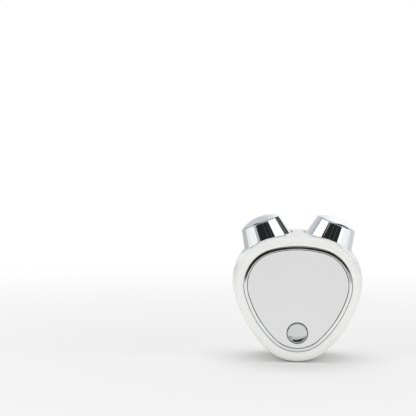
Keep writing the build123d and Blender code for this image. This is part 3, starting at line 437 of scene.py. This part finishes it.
def head_section():
    """Half section of a head, from the dome's middle round to the end of the shaft's bore."""
    dome_radius = (HEAD_END_RADIUS**2 + HEAD_DOME**2) / (2 * HEAD_DOME)
    dome_centre = (0.0, HEAD_END + HEAD_DOME - dome_radius)
    slope = math.tan(HEAD_CONE)
    edge_radius = dome_radius - HEAD_EDGE
    wall_at_level = HEAD_END_RADIUS - HEAD_EDGE / math.cos(HEAD_CONE)
    # The edge's centre lies the edge's radius in from both cone and dome. How far it has to fall
    # down the cone is the root of a quadratic.
    a = 1 + slope**2
    drop = HEAD_END - dome_centre[1]
    b = slope * wall_at_level - drop
    c = wall_at_level**2 + drop**2 - edge_radius**2
    fall = (-b - math.sqrt(b**2 - a * c)) / a
    edge_centre = (wall_at_level + slope * fall, HEAD_END - fall)
    towards_dome = math.atan2(edge_centre[1] - dome_centre[1], edge_centre[0])
    section = arc(dome_centre, dome_radius, math.pi / 2, towards_dome, DOME_STEPS)
    section[0] = (0.0, HEAD_END + HEAD_DOME)
    section += arc(edge_centre, HEAD_EDGE, towards_dome, HEAD_CONE, EDGE_STEPS)[1:]
    roof_radius = HEAD_INNER_RADIUS - (HEAD_ROOF - HEAD_LOW) * slope
    section += [(HEAD_BASE_RADIUS, HEAD_LOW), (HEAD_INNER_RADIUS, HEAD_LOW)]
    section += [(roof_radius, HEAD_ROOF), (HUB_RADIUS, HEAD_ROOF), (HUB_RADIUS, HUB_LOW)]
    return section + [(BORE_RADIUS, HUB_LOW), (BORE_RADIUS, BORE_TOP), (0.0, BORE_TOP)]


for side_name, side in (("left", -1), ("right", 1)):
    leaning = Matrix.Rotation(side * LEAN, 4, "Y")
    place = Matrix.Translation(Vector((side * HEAD_X, 0.0, HEAD_Z)) * MM) @ leaning
    head = turned(f"{side_name}_chrome_head", head_section(), place, chrome)
    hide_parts(f"{side_name}_roller")
    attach(head, f"{side_name}_roller")


# Shafts, clips and springs: turned stainless steel pins, each held by a pressed E-clip, with a
# bronze leaf under its end that carries the current to the head.

steel, finish = material("turned_steel")
rings = finish.noise(700.0, 3.0, (0.2, 0.2, 3.0))
finish.surface(
    Base_Color=finish.blend(finish.noise(200.0), (0.58, 0.58, 0.59), (0.68, 0.68, 0.69)),
    Roughness=0.18 + 0.14 * rings,
    Normal=finish.bump(rings, 0.006 * MM),
    Metallic=1.0,
)
bronze, finish = material("spring_bronze")
tarnish = finish.noise(380.0, 4.0)
finish.surface(
    Base_Color=finish.blend(tarnish, (0.62, 0.36, 0.16), (0.72, 0.47, 0.24)),
    Roughness=0.22 + 0.2 * tarnish,
    Metallic=1.0,
)
for side_name in ("left", "right"):
    coat(steel, f"{side_name}_roller_shaft", f"{side_name}_shaft_clip")
    coat(bronze, f"{side_name}_contact_spring")


# Bushes and washers: self-oiling acetal. The flanged bushes sit in the sockets' floors and in the
# bracket, and a washer lies between each floor bush and the clip.

acetal, finish = material("natural_acetal")
cloud = finish.noise(300.0, 3.0)
finish.surface(
    Base_Color=finish.blend(cloud, (0.72, 0.71, 0.66), (0.80, 0.79, 0.75)),
    Roughness=0.38 + 0.1 * finish.noise(800.0),
    Normal=finish.bump(cloud, 0.008 * MM),
    IOR=1.48,
)
for side_name in ("left", "right"):
    coat(acetal, f"{side_name}_floor_bush", f"{side_name}_frame_bush", f"{side_name}_thrust_washer")


# Bracket: glass-filled nylon, moulded in one piece, screwed to two posts of the rear shell. It
# carries the lower ends of both shafts.

nylon, finish = material("glass_filled_nylon")
fibres = finish.noise(1600.0, 5.0, (1.0, 1.0, 0.25))
finish.surface(
    Base_Color=finish.blend(fibres, (0.035, 0.036, 0.038), (0.085, 0.087, 0.09)),
    Roughness=0.5 + 0.25 * fibres,
    Normal=finish.bump(fibres, 0.03 * MM),
    IOR=1.53,
)
coat(nylon, "roller_frame")


# Power button: moulded cap, chrome-plated, with a raised rim round a dished face. Its flange stops
# it behind the shell, and its stem meets the switch. Depths are measured forwards from the seam.

BUTTON_HEIGHT = 11.8
BUTTON_FRONT, BUTTON_RADIUS, BUTTON_RIM, BUTTON_DISH = 16.3, 3.95, 0.5, 0.55
FLANGE_FRONT, FLANGE_BACK, FLANGE_RADIUS = 13.1, 12.3, 5.05
STEM_END, STEM_RADIUS = 11.2, 1.6
DISH_STEPS, RIM_STEPS = 24, 14
RIM_END, WALL_START, WALL_FADE = 3.86, 3.92, 0.05
WALL_SHADE_GREY = (0.18, 0.18, 0.18)

button_chrome, finish = material("button_chrome")
x, y, z = finish.spot()
height = z - BUTTON_HEIGHT * MM
outwards = (x * x + height * height) ** 0.5
# The button's side wall, beyond the rim and behind the plate's front, is painted dark grey and
# rough: painted shade in the gap round the button.
wall = outwards.ramp(RIM_END * MM, WALL_START * MM)
wall = wall * (y - PLATE_FRONT).ramp(0.0, WALL_FADE * MM)
plating = finish.blend(finish.noise(120.0), (0.68, 0.69, 0.695), (0.72, 0.73, 0.735))
finish.surface(
    Base_Color=finish.blend(wall, plating, WALL_SHADE_GREY),
    Roughness=0.06 + 0.04 * finish.noise(500.0) + 0.3 * wall,
    Metallic=1.0,
)
dish_reach = BUTTON_RADIUS - BUTTON_RIM
dish_depth = BUTTON_DISH - BUTTON_RIM / 2
bowl = (dish_reach**2 + dish_depth**2) / (2 * dish_depth)
half_angle = math.asin(dish_reach / bowl)
bowl_centre = (0.0, BUTTON_FRONT - BUTTON_DISH + bowl)
section = arc(bowl_centre, bowl, -upright, half_angle - upright, DISH_STEPS)
section[0] = (0.0, BUTTON_FRONT - BUTTON_DISH)
rim_centre = (dish_reach + BUTTON_RIM / 2, BUTTON_FRONT - BUTTON_RIM / 2)
section += arc(rim_centre, BUTTON_RIM / 2, math.pi, 0.0, RIM_STEPS)[1:]
section += [(BUTTON_RADIUS, FLANGE_FRONT), (FLANGE_RADIUS, FLANGE_FRONT)]
section += [(FLANGE_RADIUS, FLANGE_BACK), (STEM_RADIUS, FLANGE_BACK)]
section += [(STEM_RADIUS, STEM_END), (0.0, STEM_END)]
place = Matrix.Translation((0.0, 0.0, BUTTON_HEIGHT * MM)) @ FACING_FRONT
button = turned("dished_button", section, place, button_chrome)
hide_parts("power_button")
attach(button, "power_button")


# Switch: tact switch soldered to the front of the board. Black nylon body, brown plunger that
# moves with the button.

switch_nylon, finish = material("switch_body_nylon")
grain = finish.noise(1200.0, 4.0)
finish.surface(
    Base_Color=finish.blend(grain, (0.02, 0.02, 0.021), (0.05, 0.05, 0.052)),
    Roughness=0.45 + 0.2 * grain,
    Normal=finish.bump(grain, 0.015 * MM),
)
coat(switch_nylon, "switch_body")
plunger_brown, finish = material("plunger_brown")
finish.surface(
    Base_Color=finish.blend(finish.noise(800.0), (0.16, 0.075, 0.035), (0.22, 0.11, 0.055)),
    Roughness=0.35 + 0.15 * finish.noise(1500.0),
)
coat(plunger_brown, "switch_plunger")


# Circuit board: glass-epoxy with green solder mask over copper tracks, and a pale edge where the
# glass shows. Two screws hold it to posts of the front shell.

BOARD_FRONT, BOARD_BACK = -8.6 * MM, -7.6 * MM
MASK_DEPTH, GLASS_DEPTH = 0.02 * MM, 0.06 * MM
TRACK_PITCH, TRACK_BEND = 1.27 * MM, 3.81 * MM
TRACK_HALF, GAP_START = 0.14, 0.18
LAID_FROM, LAID_TO = 0.48, 0.52

solder_mask, finish = material("green_solder_mask")
x, y, _ = finish.spot()
inside = (y - BOARD_FRONT).ramp(MASK_DEPTH, GLASS_DEPTH)
inside = inside * (BOARD_BACK - y).ramp(MASK_DEPTH, GLASS_DEPTH)
bend = finish.noise(170.0, 0.0) * TRACK_BEND
pitches = (x + bend) / TRACK_PITCH
lane = abs(pitches.maths("FRACT", pitches) - 0.5)
track = (1 - lane.ramp(TRACK_HALF, GAP_START)) * finish.noise(120.0, 0.0).ramp(LAID_FROM, LAID_TO)
mask = finish.blend(track, (0.010, 0.115, 0.040), (0.030, 0.210, 0.075))
glass = finish.blend(finish.noise(2200.0, 3.0), (0.42, 0.40, 0.20), (0.55, 0.53, 0.32))
finish.surface(
    Base_Color=finish.blend(inside, mask, glass),
    Roughness=0.22 + 0.12 * finish.noise(400.0) + 0.35 * inside,
    Normal=finish.bump(track, 0.03 * MM),
)
coat(solder_mask, "main_board")


# Parts on the board: two epoxy-packed chips, a ferrite drum coil and ceramic capacitors with
# tinned ends, all soldered to its back.

LEG_TOP = BOARD_BACK + 0.3 * MM
CHIP_LEFT, CHIP_RIGHT = -4.95 * MM, -1.05 * MM
SIDE_SOFT, TOP_SOFT = 0.01 * MM, 0.02 * MM

epoxy, finish = material("chip_epoxy")
x, y, _ = finish.spot()
frost = finish.noise(2600.0, 4.0)
beside = (CHIP_LEFT - x).ramp(-SIDE_SOFT, SIDE_SOFT) + (x - CHIP_RIGHT).ramp(-SIDE_SOFT, SIDE_SOFT)
leg = beside * (1 - (y - LEG_TOP).ramp(-TOP_SOFT, TOP_SOFT))
black = finish.blend(frost, (0.018, 0.018, 0.019), (0.045, 0.045, 0.047))
finish.surface(
    Base_Color=finish.blend(leg, black, (0.70, 0.70, 0.68)),
    Roughness=0.62 + 0.15 * frost - 0.4 * leg,
    Metallic=leg,
    Normal=finish.bump(frost, 0.01 * MM),
)
coat(epoxy, "microcontroller")

small_epoxy, finish = material("small_chip_epoxy")
frost = finish.noise(2600.0, 4.0)
finish.surface(
    Base_Color=finish.blend(frost, (0.018, 0.018, 0.019), (0.045, 0.045, 0.047)),
    Roughness=0.62 + 0.15 * frost,
    Normal=finish.bump(frost, 0.01 * MM),
)
coat(small_epoxy, "charge_chip")

ferrite, finish = material("sintered_ferrite")
pores = finish.noise(1800.0, 5.0)
finish.surface(
    Base_Color=finish.blend(pores, (0.045, 0.045, 0.048), (0.11, 0.11, 0.115)),
    Roughness=0.55 + 0.25 * pores,
    Normal=finish.bump(pores, 0.03 * MM),
)
coat(ferrite, "boost_coil")

ROW_MIDDLE, ROW_PITCH = 19.498 * MM, 6.5 * MM
BODY_END, TIN_START = 0.55 * MM, 0.6 * MM
TIN_END, BOARD_START = 0.95 * MM, 1.0 * MM

ceramic, finish = material("tinned_ceramic")
_, _, z = finish.spot()
speck = finish.noise(3000.0, 3.0)
ends = 0.0
for row in (ROW_MIDDLE, ROW_MIDDLE + ROW_PITCH, ROW_MIDDLE - ROW_PITCH):
    away = abs(z - row)
    ends = away.ramp(BODY_END, TIN_START) * (1 - away.ramp(TIN_END, BOARD_START)) + ends
body = finish.blend(speck, (0.36, 0.24, 0.13), (0.46, 0.32, 0.19))
finish.surface(
    Base_Color=finish.blend(ends, body, (0.72, 0.72, 0.70)),
    Roughness=0.4 + 0.12 * speck,
    Metallic=ends,
)
coat(ceramic, "board_capacitors")


# Charging socket: a folded stainless shell with a black contact tongue inside. Five gold-plated
# strips lie side by side on the tongue.

folded_steel, finish = material("folded_stainless")
brush = finish.noise(1500.0, 3.0, (0.15, 0.15, 3.0))
finish.surface(
    Base_Color=finish.blend(finish.noise(250.0), (0.60, 0.60, 0.61), (0.70, 0.70, 0.71)),
    Roughness=0.24 + 0.16 * brush,
    Normal=finish.bump(brush, 0.008 * MM),
    Metallic=1.0,
)
coat(folded_steel, "usb_socket_shell")

tongue_black, finish = material("tongue_plastic")
grain = finish.noise(1700.0, 3.0)
finish.surface(
    Base_Color=finish.blend(grain, (0.02, 0.02, 0.02), (0.05, 0.05, 0.05)),
    Roughness=0.4 + 0.2 * grain,
)
coat(tongue_black, "usb_socket_tongue")

CONTACTS, CONTACT_PITCH = 5, 0.65
CONTACT_SIZE, CONTACT_SET_IN = (0.32, 0.08, 2.9), 0.25
tongue_low, tongue_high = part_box("usb_socket_tongue")

gold, finish = material("contact_gold")
rub = finish.noise(2400.0, 3.0)
finish.surface(
    Base_Color=finish.blend(rub, (0.78, 0.53, 0.18), (0.86, 0.63, 0.27)),
    Roughness=0.16 + 0.16 * rub,
    Metallic=1.0,
)
strips = bpy.data.node_groups.new("contact_strips", "GeometryNodeTree")
for label, kind in (
    ("Holder", "NodeSocketGeometry"),
    ("Count", "NodeSocketInt"),
    ("First", "NodeSocketVector"),
    ("Pitch", "NodeSocketVector"),
    ("Strip Size", "NodeSocketVector"),
    ("Finish", "NodeSocketMaterial"),
):
    strips.interface.new_socket(label, in_out="INPUT", socket_type=kind)
strips.interface.new_socket("Strips", in_out="OUTPUT", socket_type="NodeSocketGeometry")
recipe = Recipe(strips)
given = recipe.node("NodeGroupInput")
row = {"Count": given.also("Count"), "Start Location": given.also("First")}
row["Offset"] = given.also("Pitch")
row = recipe.node("GeometryNodeMeshLine", None, row)
strip = recipe.node("GeometryNodeMeshCube", None, {"Size": given.also("Strip Size")})
laid = recipe.node("GeometryNodeInstanceOnPoints", None, {"Points": row, "Instance": strip})
laid = recipe.node("GeometryNodeRealizeInstances", None, {"Geometry": laid})
plated = {"Geometry": laid, "Material": given.also("Finish")}
laid = recipe.node("GeometryNodeSetMaterial", None, plated)
recipe.node("NodeGroupOutput", None, {"Strips": laid})

first = Vector((
    -(CONTACTS - 1) / 2 * CONTACT_PITCH * MM,
    tongue_high[1],
    tongue_low[2] + (CONTACT_SIZE[2] / 2 + CONTACT_SET_IN) * MM,
))
contacts = line_piece("gold_contacts", [], False)
run_recipe(
    contacts, strips, Matrix(), count=CONTACTS, first=first,
    pitch=Vector((CONTACT_PITCH, 0.0, 0.0)) * MM, strip_size=Vector(CONTACT_SIZE) * MM, finish=gold,
)
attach(contacts, "housing")


# Cell: lithium pouch in aluminium laminate, its folded edges to the sides, held to the rear shell
# by a pad of double-sided tape.

pouch, finish = material("cell_laminate")
crinkle = finish.noise(420.0, 4.0)
finish.surface(
    Base_Color=finish.blend(crinkle, (0.56, 0.57, 0.58), (0.68, 0.69, 0.70)),
    Roughness=0.28 + 0.2 * crinkle,
    Normal=finish.bump(crinkle, 0.1 * MM),
    Metallic=0.9,
)
coat(pouch, "battery_cell")

tape_paper, finish = material("double_sided_tape")
fluff = finish.noise(900.0, 4.0)
finish.surface(
    Base_Color=finish.blend(fluff, (0.70, 0.69, 0.64), (0.80, 0.79, 0.75)),
    Roughness=0.75 + 0.15 * fluff,
)
coat(tape_paper, "battery_tape")


# Leads: stranded wire in PVC. Red and black from the cell to the board, white from each contact
# spring to the board.

ELECTRODE_LEADS = ["left_electrode_lead", "right_electrode_lead"]

for name, dark, light, leads in (
    ("red_pvc", (0.42, 0.012, 0.010), (0.55, 0.025, 0.020), ["battery_lead_red"]),
    ("black_pvc", (0.012, 0.012, 0.013), (0.035, 0.035, 0.037), ["battery_lead_black"]),
    ("white_pvc", (0.70, 0.70, 0.68), (0.80, 0.80, 0.78), ELECTRODE_LEADS),
):
    sheath, finish = material(name)
    scuff = finish.noise(600.0, 3.0)
    finish.surface(
        Base_Color=finish.blend(scuff, dark, light),
        Roughness=0.3 + 0.2 * scuff,
        Normal=finish.bump(scuff, 0.01 * MM),
    )
    coat(sheath, *leads)


# Studio: a white floor, a softbox on each side of the camera, one above, and a low strip in front.
# Polished metal also sees the room: lit walls, the dark gaps between them, and a dark end behind
# the camera. Turns are in degrees from the camera's side, and rises in degrees above the horizon.

FLOOR_SIZE = 8.0
DEGREES = 180 / math.pi
PURE_WHITE = (1.0, 1.0, 1.0)
WHITENING = (0.05, 0.4)
MIDDLE = (-0.05, 0.05)
BACK_LEFT, BACK_RIGHT = (0.52, 0.53, 0.55), (0.66, 0.67, 0.70)
AHEAD_MIDDLE, AHEAD_SIDE, AHEAD_WIDE = (0.72, 0.72, 0.72), (0.48, 0.48, 0.49), (0.97, 0.97, 0.97)
MIDDLE_TURNS, SIDE_TURNS, BACK_TURNS = (10.0, 16.0), (38.0, 41.0), (94.0, 98.0)


def either(first, second):
    """Mask that is 1 where one of two masks is."""
    return 1 - (1 - first) * (1 - second)


bpy.ops.mesh.primitive_plane_add(size=FLOOR_SIZE, location=(0, 0, 0))
floor = bpy.context.object
floor.name = "studio_floor"
floor_paint, finish = material("studio_floor_white")
x, y, _ = finish.spot()
radius = (x * x + y * y) ** 0.5
aside = abs(x.maths("ARCTAN2", x, -y) * DEGREES)
paint = finish.blend(finish.noise(3.0), (0.95, 0.95, 0.95), (0.96, 0.96, 0.96))
matt = finish.node("ShaderNodeBsdfDiffuse", None, {"Color": paint})
white = finish.node("ShaderNodeEmission", None, {"Color": PURE_WHITE, "Strength": 1.0})
behind = aside.ramp(98.0, 110.0) * (1 - aside.ramp(148.0, 156.0)) * radius.ramp(0.20, 0.26)
distant = either(aside.ramp(8.0, 12.0) * radius.ramp(0.42, 0.55), radius.ramp(0.8, 1.2))
ahead = finish.blend(aside.ramp(*MIDDLE_TURNS), AHEAD_MIDDLE, AHEAD_SIDE)
ahead = finish.blend(aside.ramp(*SIDE_TURNS), ahead, AHEAD_WIDE)
backdrop = finish.blend(x.ramp(*MIDDLE), BACK_LEFT, BACK_RIGHT)
backdrop = finish.blend(aside.ramp(*BACK_TURNS), ahead, backdrop)
backdrop = finish.node("ShaderNodeEmission", None, {"Color": backdrop, "Strength": 1.0})
rays = finish.node("ShaderNodeLightPath", out="Is Camera Ray")
seen = {0: rays * radius.ramp(*WHITENING), 1: matt, 2: white}
seen = finish.node("ShaderNodeMixShader", None, seen)
mirrored = {0: rays.also("Is Glossy Ray") * either(behind, distant), 1: seen, 2: backdrop}
shown = finish.node("ShaderNodeMixShader", None, mirrored)
finish.node("ShaderNodeOutputMaterial", None, {"Surface": shown})
floor.data.materials.append(floor_paint)

world = bpy.data.worlds.new("studio")
bpy.context.scene.world = world
world.use_nodes = True
room = Finish(world.node_tree)
towards = room.node("ShaderNodeTexCoord", out="Generated")
across = room.node("ShaderNodeSeparateXYZ", None, {0: towards})
back, up = across.also("Y"), across.also("Z")
turn = across.maths("ARCTAN2", across, -back) * DEGREES
rise = across.maths("ARCSINE", up) * DEGREES
aside = abs(turn)


def band(value, low, high, soft=1.0):
    """Mask that is 1 between low and high degrees. Its edges fade over soft on either side."""
    return value.ramp(low - soft, low + soft) * (1 - value.ramp(high - soft, high + soft))


WALL_LEFT, WALL_RIGHT = (0.60, 0.62, 0.65), (1.02, 1.03, 1.04)
uprights = band(rise, 8.0, 58.0)
horizon = band(rise, -5.0, 12.0, 8.0)
lit_walls = band(aside, -5.0, 97.0) * band(rise, 2.0, 45.0)
slats = band(turn, -101.0, -97.0, 0.5) + band(turn, -108.0, -104.0, 0.5)
slats = slats + band(turn, -118.0, -113.0, 0.5)
grey_card = band(turn, -50.0, -37.0) * band(rise, -2.0, 9.0)
ceiling = rise.ramp(60.0, 64.0)
eaves = 44.0 + 14.0 * aside.ramp(70.0, 125.0)
gaps = (rise - eaves).ramp(-1.0, 1.0) * (1 - rise.ramp(70.0, 73.0))
gaps = gaps + band(aside, 45.0, 97.0) * band(rise, 10.0, 28.0)
gaps = gaps + band(turn, 99.0, 142.0) * uprights
gaps = gaps + band(turn, -130.0, -86.0, 2.0) * band(rise, -3.0, 22.0, 1.5)
gaps = gaps + band(turn, -140.0, -98.0, 4.0) * band(rise, 43.0, 66.0)
streak = band(turn, 110.0, 114.0)
wall = room.blend(across.ramp(-0.2, 0.2), WALL_LEFT, WALL_RIGHT)
for mask, colour in (
    (horizon, (0.95, 0.95, 0.95)),
    (lit_walls, (1.1, 1.1, 1.1)),
    (slats * uprights, (0.36, 0.36, 0.38)),
    (grey_card, (0.50, 0.50, 0.51)),
    (ceiling, (0.80, 0.81, 0.82)),
    (gaps.ramp(0.2, 0.8), (0.07, 0.075, 0.075)),
    (streak * uprights, (0.20, 0.21, 0.21)),
):
    wall = room.blend(mask, wall, colour)

END_LEFT, END_RIGHT, END_SLANT = (-38.5, -36.5), (41.5, 43.5), 0.2
END_FOOT, FOOT_SLANT = 6.5, 0.30
END_TOP, TOP_STEP, STEP_TURNS = 34.0, 5.0, (28.0, 34.0)
NEAR_RISES = (8.0, 10.0)
within = turn.ramp(*END_LEFT) * (1 - (turn + rise * END_SLANT).ramp(*END_RIGHT))
near = room.blend(aside.ramp(*MIDDLE_TURNS), AHEAD_MIDDLE, AHEAD_SIDE)
wall = room.blend(within * (1 - rise.ramp(*NEAR_RISES)), wall, near)
glint = 0.04 * band(turn, 0.0, 3.0, 1.5) + 0.05 * band(turn, 20.0, 23.0, 1.5)
cool = glint + 0.020
dark_end = room.node("ShaderNodeCombineXYZ", None, {0: glint + 0.018, 1: cool, 2: cool})
foot = END_FOOT + FOOT_SLANT * turn.maths("MINIMUM", turn, 0.0)
top = END_TOP + TOP_STEP * aside.ramp(*STEP_TURNS)
within = within * (rise - foot).ramp(-1.0, 1.0) * (1 - (rise - top).ramp(-1.0, 1.0))
wall = room.blend(within, wall, dark_end)

FILL_LIGHT = 0.50
seen_by = room.node("ShaderNodeLightPath", out="Is Camera Ray")
fill = room.node("ShaderNodeBackground", None, {"Color": PURE_WHITE, "Strength": FILL_LIGHT})
white = room.node("ShaderNodeBackground", None, {"Color": PURE_WHITE, "Strength": 1.0})
mirrored = room.node("ShaderNodeBackground", None, {"Color": wall, "Strength": 1.0})
light = {0: seen_by.also("Is Glossy Ray"), 1: fill, 2: mirrored}
light = room.node("ShaderNodeMixShader", None, light)
shown = room.node("ShaderNodeMixShader", None, {0: seen_by, 1: light, 2: white})
room.node("ShaderNodeOutputWorld", None, {"Surface": shown})

LAMP_DISTANCE = 0.9
LAMP_AIM = Vector((0.0, 0.0, 0.03))


def softbox(name, turn_degrees, rise_degrees, width, height, radiance):
    """Area lamp that looks at the device. Neither the camera nor a mirror sees the lamp itself."""
    lamp = bpy.data.lights.new(name, "AREA")
    lamp.shape = "RECTANGLE"
    lamp.size = width
    lamp.size_y = height
    lamp.energy = radiance * math.pi * width * height
    box = bpy.data.objects.new(name, lamp)
    turned_by, raised_by = math.radians(turn_degrees), math.radians(rise_degrees)
    level = math.cos(raised_by)
    away = (math.sin(turned_by) * level, -math.cos(turned_by) * level, math.sin(raised_by))
    away = Vector(away)
    box.location = LAMP_AIM + away * LAMP_DISTANCE
    box.rotation_euler = away.to_track_quat("Z", "Y").to_euler()
    box.visible_camera = False
    box.visible_glossy = False
    bpy.context.scene.collection.objects.link(box)


softbox("softbox_left", -65, 14, width=0.9, height=0.7, radiance=1.05)
softbox("softbox_right", 65, 14, width=0.9, height=0.7, radiance=1.05)
softbox("softbox_top", 180, 80, width=0.8, height=0.8, radiance=1.6)
softbox("softbox_low", 0, 3, width=1.4, height=0.14, radiance=3.2)


# Camera: a telephoto a little above the face. It looks past the device's left side, so that the
# device stands right of the frame's middle. The lens is given in pixels of a frame 416 wide.

LENS_PIXELS, FRAME_PIXELS = 1625.0, 416.0
SENSOR_WIDTH, CLIP_START = 36.0, 0.01
AIM = Vector((-36.17, 0.0, 59.33)) * MM
DISTANCE = 650.0 * MM
ELEVATION, YAW, ROLL = math.radians(3.478), math.radians(1.922), math.radians(0.781)

level = math.cos(ELEVATION)
backward = Vector((math.sin(YAW) * level, -math.cos(YAW) * level, math.sin(ELEVATION)))
level_right = Vector((0, 0, 1)).cross(backward).normalized()
level_up = backward.cross(level_right)
right = level_right * math.cos(ROLL) + level_up * math.sin(ROLL)
upward = level_up * math.cos(ROLL) - level_right * math.sin(ROLL)
lens = bpy.data.cameras.new("camera")
lens.sensor_width = SENSOR_WIDTH
lens.lens = LENS_PIXELS / FRAME_PIXELS * SENSOR_WIDTH
lens.clip_start = CLIP_START
camera = bpy.data.objects.new("camera", lens)
facing = Matrix((right, upward, backward)).transposed().to_4x4()
camera.matrix_world = Matrix.Translation(AIM + backward * DISTANCE) @ facing
bpy.context.scene.collection.objects.link(camera)
bpy.context.scene.camera = camera
bpy.context.scene.view_settings.view_transform = "Standard"
